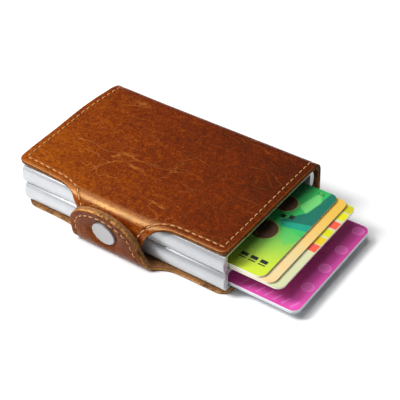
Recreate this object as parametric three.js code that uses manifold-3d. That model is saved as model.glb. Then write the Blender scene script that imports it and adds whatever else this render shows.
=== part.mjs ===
// A slim card wallet: two aluminium card cases in one folded leather cover. A lever in each case fans
// its cards out of the mouth, the cover opens like a book, and a strap with a magnetic snap closes it.
//
// Millimetres. +X points out of the card mouths, +Y towards the spine and +Z up.
// The origin is the centre of the cases' footprint, on the underside of the bottom leather.
// The levers are drawn pushed in, so the cards stand out of their cases.

import * as THREE from 'three';
import { mergeVertices } from 'three/addons/utils/BufferGeometryUtils.js';
import Module from 'manifold-3d';

const wasm = await Module();
wasm.setup();

// ---------------------------------------------------------------- driving dimensions

// A card of the ordinary bank-card size.
const CARD = { length: 85.6, width: 53.98, thickness: 0.76, corner: 3.18 };
const CARD_PITCH = 0.84;

// One aluminium case: a flat tube with bowed long sides.
const CASE_LENGTH = 97;
const CASE_WIDTH = 62.5;
const CASE_HEIGHT = 8.2;
const CASE_WALL = 0.8;
const CASE_SIDE_BOW = 1.5;
const CASE_CAVITY_WIDTH = 56.4;
const CASE_GAP = 0.3;
const MOUTH_X = CASE_LENGTH / 2;

// The play between pieces that lie against each other, and round the pin in its two holes.
const PLAY = 0.05;
const PIN_PLAY = 0.1;
const BORE_PLAY = 0.3;

// The felt strips on the side walls, from start to end along X, short of the floor and the roof.
const STRIP = { start: 8, end: 44, thickness: 0.85, margin: 0.9, corner: 0.6 };

// The cover's layers, from outside in.
const LEATHER = 1.1;
const LINING = 0.8;
const BOND = 0.2;
const BOND_PLAY = 0.025;
const LAYER_GAP = 0.05;
const COVER = LEATHER + LAYER_GAP + LINING;

// The cover's outline.
const COVER_LEFT = -50;
const COVER_RIGHT = 49.2;
const COVER_FRONT = -30.7;
const FOLD_RADIUS = 1;
const SPINE_Y = 34.3;
const LINING_INSET = 0.4;
const LINING_SHORT_OF_FOLD = 1.35;
const TOP_CORNER = 3;
const BOTTOM_CORNER = 5.5;

// Heights.
const BED = BOND + BOND_PLAY * 2;
const LOWER_CASE_Z = COVER + BED;
const UPPER_CASE_Z = LOWER_CASE_Z + CASE_HEIGHT + CASE_GAP;
const TOP_LINING_Z = UPPER_CASE_Z + CASE_HEIGHT + BED + LAYER_GAP;
const TOP_Z = TOP_LINING_Z + COVER;
const BOTTOM_FOLD_Z = FOLD_RADIUS;
const TOP_FOLD_Z = TOP_Z - FOLD_RADIUS;

// The closure: the tab hangs from the top panel, and the strap stands on the bottom panel outside it.
const CLOSURE_X = -2.3;
const CLOSURE_Z = 11;
const CLOSURE_LEAN = THREE.MathUtils.degToRad(8);
const TAB_FOLD = { y: -29, innerRadius: 4 };
const TAB_BOTTOM_Z = 4.6;
const IN_FRONT_OF_ALL = -40;
const STRAP_END = 20.6;
const STRAP_HALF_WIDTH = 15.6;
const HINGE_CLEARANCE = 1.35;

// The ejector lever. The cam of each step is an involute, so a card moves the same distance for
// each degree that the lever turns.
const LEVER_SWING = THREE.MathUtils.degToRad(40);
const LEVER_PIVOT = { x: -42.3, y: -24.9 };
const LEVER_HUB = 2.6;
const LEVER_ARM = 2.4;
const LEVER_CONTACT_GAP = 0.15;
const PIN_RADIUS = 1;
const THUMB_TAB = { angle: THREE.MathUtils.degToRad(140), reach: 11, width: 3.4, height: 3 };
// The slot that the thumb tab slides in, from the pivot's Y.
const THUMB_SLOT = { start: -2.1, end: 8.1, play: 0.3, corner: 0.6 };
const CARD_RECESS = 0.2;
const CAM_SEGMENTS = 10;

// How far each card stands out of its mouth, from the case's floor up.
const UPPER_CARDS = [
  { name: 'upper_card_cream', out: 21.7, material: 'cream_card' },
  { name: 'upper_card_orange', out: 18.2, material: 'orange_card' },
  { name: 'upper_card_green', out: 14, material: 'green_card' },
];
const LOWER_CARDS = [
  { name: 'lower_card_grey', out: 28.3, material: 'grey_card' },
  { name: 'lower_card_pink', out: 28.3, material: 'pink_card' },
];
// The steps above the cards that are carried, for a fuller case.
const SPARE_STEPS = [11, 8];

// ---------------------------------------------------------------- materials

const LOOKS = {
  leather: { color: 0x9c4a16, roughness: 0.45, metalness: 0 },
  lining: { color: 0x8a5a34, roughness: 0.85, metalness: 0 },
  bond: { color: 0x2a2622, roughness: 0.8, metalness: 0 },
  aluminium: { color: 0xd9dbe0, roughness: 0.35, metalness: 0.9 },
  black_plastic: { color: 0x18181a, roughness: 0.5, metalness: 0 },
  felt: { color: 0x26262a, roughness: 0.95, metalness: 0 },
  steel: { color: 0xb9bbc0, roughness: 0.25, metalness: 1 },
  magnet: { color: 0x6d6f75, roughness: 0.35, metalness: 0.9 },
  green_card: { color: 0x5fae3c, roughness: 0.35, metalness: 0 },
  orange_card: { color: 0xf2c078, roughness: 0.4, metalness: 0 },
  cream_card: { color: 0xe9e7c9, roughness: 0.4, metalness: 0 },
  pink_card: { color: 0xc93a9c, roughness: 0.35, metalness: 0 },
  grey_card: { color: 0xcdd3da, roughness: 0.4, metalness: 0 },
};

// ---------------------------------------------------------------- geometry helpers

// A geometry with shared vertices merged and the slivers at a lathe's poles dropped.
function welded(geometry) {
  const bare = geometry.clone();
  bare.deleteAttribute('normal');
  bare.deleteAttribute('uv');
  const merged = mergeVertices(bare, 1e-4);
  const index = merged.getIndex().array;
  const kept = [];
  for (let i = 0; i < index.length; i += 3) {
    const [a, b, c] = [index[i], index[i + 1], index[i + 2]];
    if (a !== b && b !== c && c !== a) {
      kept.push(a, b, c);
    }
  }
  merged.setIndex(kept);
  return merged;
}

function toSolid(geometry) {
  const merged = welded(geometry);
  return new wasm.Manifold(
    new wasm.Mesh({
      numProp: 3,
      vertProperties: new Float32Array(merged.getAttribute('position').array),
      triVerts: new Uint32Array(merged.getIndex().array),
    }),
  );
}

function toGeometry(solid) {
  const mesh = solid.getMesh();
  const geometry = new THREE.BufferGeometry();
  geometry.setAttribute('position', new THREE.BufferAttribute(new Float32Array(mesh.vertProperties), 3));
  geometry.setIndex(new THREE.BufferAttribute(new Uint32Array(mesh.triVerts), 1));
  return geometry;
}

function joined(first, ...others) {
  return toGeometry(others.reduce((solid, other) => solid.add(toSolid(other)), toSolid(first)));
}

function cut(first, ...others) {
  return toGeometry(others.reduce((solid, other) => solid.subtract(toSolid(other)), toSolid(first)));
}

function shared(first, second) {
  return toGeometry(toSolid(first).intersect(toSolid(second)));
}

// An outline drawn in X and Y, standing from height z0 to height z1.
function slab(shape, z0, z1, curveSegments = 8) {
  const geometry = new THREE.ExtrudeGeometry(shape, { depth: z1 - z0, bevelEnabled: false, curveSegments });
  return geometry.translate(0, 0, z0);
}

// An outline drawn in Y and Z, running along X from x0 to x1.
function alongX(shape, x0, x1, curveSegments = 8) {
  const geometry = new THREE.ExtrudeGeometry(shape, { depth: x1 - x0, bevelEnabled: false, curveSegments });
  const axes = new THREE.Matrix4().makeBasis(
    new THREE.Vector3(0, 1, 0),
    new THREE.Vector3(0, 0, 1),
    new THREE.Vector3(1, 0, 0),
  );
  return geometry.applyMatrix4(axes).translate(x0, 0, 0);
}

// An outline drawn in X and Z, running along Y from y0 to y1.
function alongY(shape, y0, y1, curveSegments = 8) {
  const geometry = new THREE.ExtrudeGeometry(shape, { depth: y1 - y0, bevelEnabled: false, curveSegments });
  const axes = new THREE.Matrix4().makeBasis(
    new THREE.Vector3(1, 0, 0),
    new THREE.Vector3(0, 0, 1),
    new THREE.Vector3(0, -1, 0),
  );
  return geometry.applyMatrix4(axes).translate(0, y1, 0);
}

// A round rod along X, Y or Z from start to end.
function rod(radius, axis, start, end, centre, segments = 24) {
  const geometry = new THREE.CylinderGeometry(radius, radius, end - start, segments);
  const middle = (start + end) / 2;
  if (axis === 'x') {
    return geometry.rotateZ(Math.PI / 2).translate(middle, centre[0], centre[1]);
  }
  if (axis === 'y') {
    return geometry.translate(centre[0], middle, centre[1]);
  }
  return geometry.rotateX(Math.PI / 2).translate(centre[0], centre[1], middle);
}

// A turned piece on the Y axis, from [radius, y] pairs that start and end on the axis.
function turned(profile, segments = 32) {
  return new THREE.LatheGeometry(profile.map(([radius, y]) => new THREE.Vector2(radius, y)), segments);
}

function roundedRectangle(x0, y0, x1, y1, radius) {
  const shape = new THREE.Shape();
  shape.absarc(x1 - radius, y1 - radius, radius, 0, Math.PI / 2);
  shape.absarc(x0 + radius, y1 - radius, radius, Math.PI / 2, Math.PI);
  shape.absarc(x0 + radius, y0 + radius, radius, Math.PI, Math.PI * 1.5);
  shape.absarc(x1 - radius, y0 + radius, radius, Math.PI * 1.5, Math.PI * 2);
  shape.closePath();
  return shape;
}

// ---------------------------------------------------------------- assembly helpers

const wallet = new THREE.Group();

function addPart(parent, name, geometry, look) {
  const mesh = new THREE.Mesh(geometry, new THREE.MeshStandardMaterial(LOOKS[look]));
  mesh.name = name;
  parent.add(mesh);
  return mesh;
}

function addGroup(parent, x, y, z) {
  const group = new THREE.Group();
  group.position.set(x, y, z);
  parent.add(group);
  return group;
}

// ---------------------------------------------------------------- the aluminium cases

const CAVITY_FLOOR = CASE_WALL;
const CAVITY_ROOF = CASE_HEIGHT - CASE_WALL;
const CAVITY_HALF = CASE_CAVITY_WIDTH / 2;
const CAVITY_CORNER = 0.4;

function caseSection() {
  const halfHeight = CASE_HEIGHT / 2;
  const bowRadius = (halfHeight ** 2 + CASE_SIDE_BOW ** 2) / (2 * CASE_SIDE_BOW);
  const bowAngle = Math.asin(halfHeight / bowRadius);
  const bowCentre = CASE_WIDTH / 2 - bowRadius;
  const shape = new THREE.Shape();
  shape.absarc(bowCentre, halfHeight, bowRadius, -bowAngle, bowAngle);
  shape.absarc(-bowCentre, halfHeight, bowRadius, Math.PI - bowAngle, Math.PI + bowAngle);
  shape.closePath();
  shape.holes.push(roundedRectangle(-CAVITY_HALF, CAVITY_FLOOR, CAVITY_HALF, CAVITY_ROOF, CAVITY_CORNER));
  return shape;
}

function caseShell() {
  const tube = alongX(caseSection(), -CASE_LENGTH / 2, CASE_LENGTH / 2, 6);
  const pinHole = rod(PIN_RADIUS + PIN_PLAY, 'z', -1, CASE_HEIGHT + 1, [LEVER_PIVOT.x, LEVER_PIVOT.y]);
  return cut(tube, pinHole);
}

// The black plastic plug in the closed end, with the slot that the thumb tab slides in.
function endCap() {
  const fit = 0.1;
  const thickness = 1.5;
  const slotMiddle = CASE_HEIGHT / 2;
  const slotHalf = THUMB_TAB.height / 2 + THUMB_SLOT.play;
  const plate = roundedRectangle(
    -CAVITY_HALF + fit,
    CAVITY_FLOOR + fit,
    CAVITY_HALF - fit,
    CAVITY_ROOF - fit,
    CAVITY_CORNER,
  );
  const slotStart = LEVER_PIVOT.y + THUMB_SLOT.start;
  const slotEnd = LEVER_PIVOT.y + THUMB_SLOT.end;
  plate.holes.push(
    roundedRectangle(slotStart, slotMiddle - slotHalf, slotEnd, slotMiddle + slotHalf, THUMB_SLOT.corner),
  );
  return alongX(plate, -CASE_LENGTH / 2, -CASE_LENGTH / 2 + thickness, 4);
}

// The strips on the side walls that hold the cards by friction.
function frictionStrip() {
  const low = CAVITY_FLOOR + STRIP.margin;
  const high = CAVITY_ROOF - STRIP.margin;
  const outline = roundedRectangle(STRIP.start, low, STRIP.end, high, STRIP.corner);
  return alongY(outline, -STRIP.thickness / 2, STRIP.thickness / 2, 3);
}

// ---------------------------------------------------------------- the ejector levers

const CARD_REAR_IN = MOUTH_X - CARD_RECESS - CARD.length;
const CAM_REACH_IN = CARD_REAR_IN - LEVER_PIVOT.x;

// Millimetres of card travel for each radian of the lever.
function pushRate(out) {
  return (out + CARD_RECESS) / LEVER_SWING;
}

// The outline of one step in the lever's own frame, with its arm swung out. The line that touches
// the curve at angle phi lies at a distance that grows evenly with phi, so the curve is an involute.
function camOutline(rate) {
  const reachOut = CAM_REACH_IN + rate * LEVER_SWING - LEVER_CONTACT_GAP;
  const tip = new THREE.Vector2(reachOut, rate);
  const back = new THREE.Vector2(-tip.y, tip.x).normalize();
  const points = [back.clone().multiplyScalar(-LEVER_HUB)];
  for (let i = 0; i <= CAM_SEGMENTS; i += 1) {
    const phi = -LEVER_SWING * (1 - i / CAM_SEGMENTS);
    const reach = reachOut + rate * phi;
    points.push(
      new THREE.Vector2(
        reach * Math.cos(phi) - rate * Math.sin(phi),
        reach * Math.sin(phi) + rate * Math.cos(phi),
      ),
    );
  }
  points.push(tip.clone().addScaledVector(back, LEVER_ARM));
  points.push(back.clone().multiplyScalar(LEVER_HUB));
  return new THREE.Shape(points);
}

function lever(cards) {
  const bottom = CAVITY_FLOOR + PLAY;
  const top = CAVITY_ROOF - PLAY;
  const outs = [...cards.map((card) => card.out), ...SPARE_STEPS];
  const pieces = outs.map((out, i) => slab(camOutline(pushRate(out)), bottom, bottom + (i + 1) * CARD_PITCH));
  const hub = rod(LEVER_HUB, 'z', bottom, top, [0, 0]);
  const half = THUMB_TAB.width / 2;
  const tab = slab(
    roundedRectangle(0, -half, THUMB_TAB.reach, half, half * 0.8),
    CASE_HEIGHT / 2 - THUMB_TAB.height / 2,
    CASE_HEIGHT / 2 + THUMB_TAB.height / 2,
    4,
  ).rotateZ(THUMB_TAB.angle);
  const bore = rod(PIN_RADIUS + BORE_PLAY, 'z', -1, CASE_HEIGHT + 1, [0, 0]);
  return cut(joined(hub, tab, ...pieces), bore);
}

// ---------------------------------------------------------------- one case with all it holds

function card() {
  const [length, half] = [CARD.length, CARD.width / 2];
  return slab(roundedRectangle(-length, -half, 0, half, CARD.corner), 0, CARD.thickness, 5);
}

function addCase(prefix, z, cards) {
  const group = addGroup(wallet, 0, 0, z);
  addPart(group, `${prefix}_case`, caseShell(), 'aluminium');
  addPart(group, `${prefix}_end_cap`, endCap(), 'black_plastic');
  for (const [side, sign] of [['front', -1], ['back', 1]]) {
    const strip = addPart(group, `${prefix}_${side}_strip`, frictionStrip(), 'felt');
    strip.position.set(0, sign * (CAVITY_HALF - PLAY - STRIP.thickness / 2), 0);
  }
  const pin = rod(PIN_RADIUS, 'z', PIN_PLAY, CASE_HEIGHT - PIN_PLAY, [0, 0]);
  const pivot = addGroup(group, LEVER_PIVOT.x, LEVER_PIVOT.y, 0);
  addPart(pivot, `${prefix}_pivot_pin`, pin, 'steel');
  addPart(pivot, `${prefix}_lever`, lever(cards), 'black_plastic');
  cards.forEach(({ name, out, material }, i) => {
    const mesh = addPart(group, name, card(), material);
    mesh.position.set(MOUTH_X + out, 0, CAVITY_FLOOR + PLAY + i * CARD_PITCH);
  });
}

addCase('lower', LOWER_CASE_Z, LOWER_CARDS);
addCase('upper', UPPER_CASE_Z, UPPER_CARDS);

// ---------------------------------------------------------------- the cover's bottom panel

const STRAP_AXIS_Y = -34.45;
const STRAP_BASE = { left: -22.5, right: 21.5 };

// The panel's front edge widens into the base of the strap.
function bottomOutline(inset, frontY, backY) {
  const left = COVER_LEFT + inset;
  const right = COVER_RIGHT - inset;
  const front = COVER_FRONT + inset;
  const corner = BOTTOM_CORNER - inset;
  const flare = 7;
  const baseLeft = STRAP_BASE.left + inset;
  const baseRight = STRAP_BASE.right - inset;
  const shape = new THREE.Shape();
  shape.moveTo(right, backY);
  shape.lineTo(left, backY);
  shape.absarc(left + corner, front + corner, corner, Math.PI, Math.PI * 1.5);
  shape.lineTo(baseLeft - flare, front);
  shape.quadraticCurveTo(baseLeft - flare / 4, front, baseLeft, frontY);
  shape.lineTo(baseRight, frontY);
  shape.quadraticCurveTo(baseRight + flare / 4, front, baseRight + flare, front);
  shape.absarc(right - corner, front + corner, corner, Math.PI * 1.5, Math.PI * 2);
  shape.closePath();
  return shape;
}

// The panel's section, with the round edge that it folds on at the strap and at the spine.
function bottomSection() {
  const flat = FOLD_RADIUS * 0.5;
  const shape = new THREE.Shape();
  shape.absarc(SPINE_Y, FOLD_RADIUS, FOLD_RADIUS, -Math.PI / 2, Math.PI / 2);
  shape.lineTo(SPINE_Y - flat, FOLD_RADIUS * 2);
  shape.lineTo(SPINE_Y - flat, LEATHER);
  shape.lineTo(STRAP_AXIS_Y + flat, LEATHER);
  shape.lineTo(STRAP_AXIS_Y + flat, FOLD_RADIUS * 2);
  shape.absarc(STRAP_AXIS_Y, FOLD_RADIUS, FOLD_RADIUS, Math.PI / 2, Math.PI * 1.5);
  shape.closePath();
  return shape;
}

function bottomLeather() {
  const pastFolds = FOLD_RADIUS * 2;
  const outline = bottomOutline(0, STRAP_AXIS_Y - pastFolds, SPINE_Y + pastFolds);
  return shared(
    alongX(bottomSection(), COVER_LEFT - 1, COVER_RIGHT + 1, 8),
    slab(outline, -1, pastFolds + 1),
  );
}

const liningOutline = bottomOutline(
  LINING_INSET,
  STRAP_AXIS_Y + LINING_SHORT_OF_FOLD,
  SPINE_Y - LINING_SHORT_OF_FOLD,
);
const BOND_PAD = { halfLength: MOUTH_X - 6, halfWidth: 26, corner: 2 };
const bondOutline = roundedRectangle(
  -BOND_PAD.halfLength,
  -BOND_PAD.halfWidth,
  BOND_PAD.halfLength,
  BOND_PAD.halfWidth,
  BOND_PAD.corner,
);
const lowerBondZ = COVER + BOND_PLAY;

addPart(wallet, 'bottom_leather', bottomLeather(), 'leather');
addPart(wallet, 'bottom_lining', slab(liningOutline, LEATHER + LAYER_GAP, COVER), 'lining');
addPart(wallet, 'lower_bond_pad', slab(bondOutline, lowerBondZ, lowerBondZ + BOND, 3), 'bond');

// ---------------------------------------------------------------- the spine

function spinePanel(y0, y1, inset) {
  const outline = roundedRectangle(
    COVER_LEFT + inset,
    BOTTOM_FOLD_Z + HINGE_CLEARANCE + inset,
    COVER_RIGHT - inset,
    TOP_FOLD_Z - HINGE_CLEARANCE - inset,
    0.4,
  );
  return alongY(outline, y0, y1, 3);
}

const SPINE_OUTER = SPINE_Y + COVER / 2;

addPart(wallet, 'spine_leather', spinePanel(SPINE_OUTER - LEATHER, SPINE_OUTER, 0), 'leather');
addPart(wallet, 'spine_lining', spinePanel(SPINE_OUTER - COVER, SPINE_OUTER - COVER + LINING, 0.3), 'lining');

// ---------------------------------------------------------------- the cover's top panel and tab

const TAB_FOLD_Z = TOP_LINING_Z - TAB_FOLD.innerRadius;
const TAB_HALF = { top: 24.5, waist: 14.8, foot: 12.5 };
const LINING_OUTER_RADIUS = TAB_FOLD.innerRadius + LINING;
const LEATHER_INNER_RADIUS = LINING_OUTER_RADIUS + LAYER_GAP;
const LEATHER_OUTER_RADIUS = LEATHER_INNER_RADIUS + LEATHER;

// The section of the top panel and its tab: along the top from the back, round the front fold, and
// down at the closure's lean. The leather ends at the back in the round edge that it folds on.
function topSection(innerRadius, outerRadius, bottomZ, backY, folds) {
  const end = Math.PI + CLOSURE_LEAN;
  const foot = (radius) => {
    const startY = TAB_FOLD.y + radius * Math.cos(end);
    const startZ = TAB_FOLD_Z + radius * Math.sin(end);
    return [startY + (startZ - bottomZ) * Math.tan(CLOSURE_LEAN), bottomZ];
  };
  const shape = new THREE.Shape();
  shape.absarc(TAB_FOLD.y, TAB_FOLD_Z, outerRadius, Math.PI / 2, end);
  shape.lineTo(...foot(outerRadius));
  shape.lineTo(...foot(innerRadius));
  shape.absarc(TAB_FOLD.y, TAB_FOLD_Z, innerRadius, end, Math.PI / 2, true);
  if (folds) {
    const flat = FOLD_RADIUS * 0.5;
    shape.lineTo(backY - flat, TAB_FOLD_Z + innerRadius);
    shape.lineTo(backY - flat, TOP_Z - FOLD_RADIUS * 2);
    shape.absarc(backY, TOP_FOLD_Z, FOLD_RADIUS, -Math.PI / 2, Math.PI / 2);
  } else {
    shape.lineTo(backY, TAB_FOLD_Z + innerRadius);
    shape.lineTo(backY, TAB_FOLD_Z + outerRadius);
  }
  shape.closePath();
  return shape;
}

// The tab seen from the front: wide at the fold, hollowed sides, a rounded lower end.
function tabOutline(inset, bottomZ) {
  const top = TAB_HALF.top - inset;
  const waist = TAB_HALF.waist - inset;
  const foot = TAB_HALF.foot - inset;
  const corner = 4;
  const aboveTop = TOP_Z + 2;
  const [shoulderZ, waistZ] = [TOP_Z - 0.6, TOP_Z - 9];
  const shape = new THREE.Shape();
  shape.moveTo(CLOSURE_X + top, aboveTop);
  shape.lineTo(CLOSURE_X - top, aboveTop);
  shape.lineTo(CLOSURE_X - top, shoulderZ);
  const [left, right] = [CLOSURE_X - waist, CLOSURE_X + waist];
  shape.bezierCurveTo(CLOSURE_X - top + 4, TOP_Z - 3, left - 1, TOP_Z - 6, left, waistZ);
  shape.lineTo(CLOSURE_X - foot, bottomZ + corner);
  shape.quadraticCurveTo(CLOSURE_X - foot, bottomZ, CLOSURE_X - foot + corner, bottomZ);
  shape.lineTo(CLOSURE_X + foot - corner, bottomZ);
  shape.quadraticCurveTo(CLOSURE_X + foot, bottomZ, CLOSURE_X + foot, bottomZ + corner);
  shape.lineTo(right, waistZ);
  shape.bezierCurveTo(right + 1, TOP_Z - 6, CLOSURE_X + top - 4, TOP_Z - 3, CLOSURE_X + top, shoulderZ);
  shape.closePath();
  return shape;
}

// The panel seen from above: rounded at the front, square at the spine.
function topOutline(inset, backY) {
  const left = COVER_LEFT + inset;
  const right = COVER_RIGHT - inset;
  const front = COVER_FRONT + inset;
  const corner = TOP_CORNER - inset;
  const shape = new THREE.Shape();
  shape.moveTo(right, backY);
  shape.lineTo(left, backY);
  shape.absarc(left + corner, front + corner, corner, Math.PI, Math.PI * 1.5);
  shape.absarc(right - corner, front + corner, corner, Math.PI * 1.5, Math.PI * 2);
  shape.closePath();
  return shape;
}

// One layer of the top panel with its tab, cut from a sheet bent along its whole width.
function topLayer(section, inset) {
  const bent = alongX(section, COVER_LEFT - 1, COVER_RIGHT + 1, 10);
  const panel = slab(topOutline(inset, SPINE_Y + 3), TOP_Z - 4, TOP_Z + 1);
  const tab = alongY(tabOutline(inset, TAB_BOTTOM_Z + inset), IN_FRONT_OF_ALL, TAB_FOLD.y + 1, 10);
  return shared(bent, joined(panel, tab));
}

// The frame of the closure: its Y axis is square to the leaning tab and strap.
// The tab's outer face lies at the origin's Y, and the snap's centre on the Y axis.
const tabOuterY = (() => {
  const end = Math.PI + CLOSURE_LEAN;
  const startY = TAB_FOLD.y + LEATHER_OUTER_RADIUS * Math.cos(end);
  const startZ = TAB_FOLD_Z + LEATHER_OUTER_RADIUS * Math.sin(end);
  return startY + (startZ - CLOSURE_Z) * Math.tan(CLOSURE_LEAN);
})();

function inClosureFrame(geometry) {
  return geometry.rotateX(CLOSURE_LEAN).translate(CLOSURE_X, tabOuterY, CLOSURE_Z);
}

const KEEPER = { radius: 3.8, thickness: 0.6, stem: 0.9, head: 0.35, washer: 2.4, washerThickness: 0.3 };
const KEEPER_EDGE = { across: 0.2, deep: 0.1 };

function topLeather() {
  const section = topSection(LEATHER_INNER_RADIUS, LEATHER_OUTER_RADIUS, 0, SPINE_Y, true);
  const pocket = rod(KEEPER.radius + BORE_PLAY, 'y', -3, LEATHER + LAYER_GAP / 2, [0, 0], 32);
  return cut(topLayer(section, 0), inClosureFrame(pocket));
}

function topLining() {
  const backY = SPINE_Y - LINING_SHORT_OF_FOLD;
  const section = topSection(TAB_FOLD.innerRadius, LINING_OUTER_RADIUS, 0, backY, false);
  const stemHole = rod(KEEPER.stem + BORE_PLAY, 'y', -1, 5, [0, 0], 20);
  return cut(topLayer(section, LINING_INSET), inClosureFrame(stemHole));
}

addPart(wallet, 'top_leather', topLeather(), 'leather');
addPart(wallet, 'top_lining', topLining(), 'lining');
const upperBondZ = TOP_LINING_Z - BOND_PLAY - BOND;
addPart(wallet, 'upper_bond_pad', slab(bondOutline, upperBondZ, upperBondZ + BOND, 3), 'bond');

// The steel keeper that the magnet holds: a disc let into the tab, riveted over a washer behind it.
const keeper = addGroup(wallet, CLOSURE_X, tabOuterY, CLOSURE_Z);
keeper.rotation.x = CLOSURE_LEAN;
const keeperRivet = turned([
  [0, COVER + KEEPER.head],
  [KEEPER.stem, COVER + KEEPER.head],
  [KEEPER.stem, PLAY + KEEPER.thickness],
  [KEEPER.radius, PLAY + KEEPER.thickness],
  [KEEPER.radius, PLAY + KEEPER_EDGE.deep],
  [KEEPER.radius - KEEPER_EDGE.across, PLAY],
  [0, PLAY],
].reverse());
const washerStart = COVER + PLAY;
const washerBore = KEEPER.stem + PIN_PLAY;
const keeperWasher = turned([
  [washerBore, washerStart],
  [KEEPER.washer, washerStart],
  [KEEPER.washer, washerStart + KEEPER.washerThickness],
  [washerBore, washerStart + KEEPER.washerThickness],
  [washerBore, washerStart],
]);
addPart(keeper, 'keeper_rivet', keeperRivet, 'steel');
addPart(keeper, 'keeper_washer', keeperWasher, 'steel');

// ---------------------------------------------------------------- the strap and its snap

// The strap's frame has its origin on the fold axis, Z up the strap and Y towards the cases.
const strap = addGroup(wallet, 0, STRAP_AXIS_Y, BOTTOM_FOLD_Z);
strap.rotation.x = CLOSURE_LEAN;
const STRAP_INNER = COVER / 2;
const STRAP_OUTER = -COVER / 2;
const SNAP_UP = (CLOSURE_Z - BOTTOM_FOLD_Z) / Math.cos(CLOSURE_LEAN);

// The strap seen from the front: flared at the fold, ending in a low round arch.
function strapOutline(inset) {
  const shoulder = 9;
  const left = CLOSURE_X - STRAP_HALF_WIDTH + inset;
  const right = CLOSURE_X + STRAP_HALF_WIDTH - inset;
  const bottom = HINGE_CLEARANCE;
  const baseLeft = STRAP_BASE.left + 0.2 + inset;
  const baseRight = STRAP_BASE.right - 0.2 - inset;
  const shape = new THREE.Shape();
  shape.moveTo(baseLeft, bottom);
  shape.lineTo(baseRight, bottom);
  shape.bezierCurveTo(baseRight - 5, bottom + 1.2, right + 0.5, bottom + 3.5, right, shoulder);
  shape.absellipse(
    CLOSURE_X,
    shoulder,
    STRAP_HALF_WIDTH - inset,
    STRAP_END - inset - shoulder,
    0,
    Math.PI,
  );
  shape.bezierCurveTo(left - 0.5, bottom + 3.5, baseLeft + 3, bottom + 1.2, baseLeft, bottom);
  shape.closePath();
  return shape;
}

function strapLayer(inset, y0, y1, holeRadius) {
  const hole = rod(holeRadius, 'y', y0 - 1, y1 + 1, [CLOSURE_X, SNAP_UP]);
  return cut(alongY(strapOutline(inset), y0, y1, 12), hole);
}

const SNAP = { radius: 5.25, thickness: 0.9, rim: 0.35, dish: 0.15, post: 0.9 };
const MAGNET = { radius: 2.7, cup: 3.6, cupWall: 0.5, cupFloor: 0.2 };
const cupBase = STRAP_INNER - LINING;
const strapLeather = strapLayer(0, STRAP_OUTER, STRAP_OUTER + LEATHER, SNAP.post + BORE_PLAY);
const strapLining = strapLayer(LINING_INSET, cupBase, STRAP_INNER, MAGNET.cup + BORE_PLAY);
addPart(strap, 'strap_leather', strapLeather, 'leather');
addPart(strap, 'strap_lining', strapLining, 'lining');

// The round cap outside, with the post that joins it to the magnet's cup inside.
const capInner = STRAP_OUTER - PLAY;
const capOuter = capInner - SNAP.thickness;
const snapCap = turned([
  [0, capOuter + SNAP.dish],
  [SNAP.radius - 1, capOuter + SNAP.dish],
  [SNAP.radius - 0.8, capOuter],
  [SNAP.radius - 0.3, capOuter],
  [SNAP.radius, capOuter + SNAP.rim],
  [SNAP.radius, capInner],
  [SNAP.post, capInner],
  [SNAP.post, cupBase - PLAY],
  [0, cupBase - PLAY],
]);
const magnetCup = turned([
  [0, cupBase],
  [MAGNET.cup, cupBase],
  [MAGNET.cup, STRAP_INNER],
  [MAGNET.cup - MAGNET.cupWall, STRAP_INNER],
  [MAGNET.cup - MAGNET.cupWall, cupBase + MAGNET.cupFloor],
  [0, cupBase + MAGNET.cupFloor],
]);
const magnetBase = cupBase + MAGNET.cupFloor + PLAY;
const magnet = turned([
  [0, magnetBase],
  [MAGNET.radius, magnetBase],
  [MAGNET.radius, STRAP_INNER - PLAY],
  [0, STRAP_INNER - PLAY],
]);
for (const [name, geometry, look] of [
  ['snap_cap', snapCap, 'steel'],
  ['magnet_cup', magnetCup, 'steel'],
  ['closure_magnet', magnet, 'magnet'],
]) {
  addPart(strap, name, geometry, look).position.set(CLOSURE_X, 0, SNAP_UP);
}

export default wallet;
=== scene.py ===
"""A slim card wallet: two aluminium card cases in a folded cognac leather cover with a snap strap.

The leather is made as bent sheets. A sheet is an outline drawn flat in x and s, where s is the length
along a section that is drawn in y and z. Lengths in this file are millimetres until a mesh is made.
"""

import math

import bpy
import numpy as np
from mathutils import Matrix, Vector, noise
from mathutils.geometry import delaunay_2d_cdt


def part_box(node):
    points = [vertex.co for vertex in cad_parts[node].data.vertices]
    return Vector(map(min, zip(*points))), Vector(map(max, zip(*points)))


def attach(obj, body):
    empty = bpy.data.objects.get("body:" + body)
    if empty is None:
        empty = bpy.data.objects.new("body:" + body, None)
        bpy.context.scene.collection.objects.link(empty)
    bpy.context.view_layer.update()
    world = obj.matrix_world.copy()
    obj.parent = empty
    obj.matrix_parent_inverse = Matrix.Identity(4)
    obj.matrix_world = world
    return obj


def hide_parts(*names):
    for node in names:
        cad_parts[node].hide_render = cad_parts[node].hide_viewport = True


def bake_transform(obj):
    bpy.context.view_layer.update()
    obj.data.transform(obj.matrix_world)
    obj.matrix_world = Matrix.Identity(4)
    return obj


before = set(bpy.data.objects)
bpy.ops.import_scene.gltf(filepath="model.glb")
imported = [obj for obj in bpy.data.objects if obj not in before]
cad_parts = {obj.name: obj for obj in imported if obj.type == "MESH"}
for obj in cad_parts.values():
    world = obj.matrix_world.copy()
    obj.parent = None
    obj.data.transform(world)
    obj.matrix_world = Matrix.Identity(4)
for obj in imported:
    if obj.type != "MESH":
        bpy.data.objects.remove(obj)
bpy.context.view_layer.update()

MM = 0.001
UV_MM = 100.0

# ---------------------------------------------------------------- driving dimensions

COVER_LEFT = -50.0
TOP_LEFT_BOW = 1.7
COVER_RIGHT = 49.2
COVER_FRONT = -30.7
BOTTOM_CORNER = 5.5
TOP_CORNER = 3.0
TOP_Z = 21.15
SPINE_OUTER = 35.275
SPINE_RADIUS = 5.0
LEATHER = 1.1
LINING_START = 1.13
LINING_END = 1.95

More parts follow.
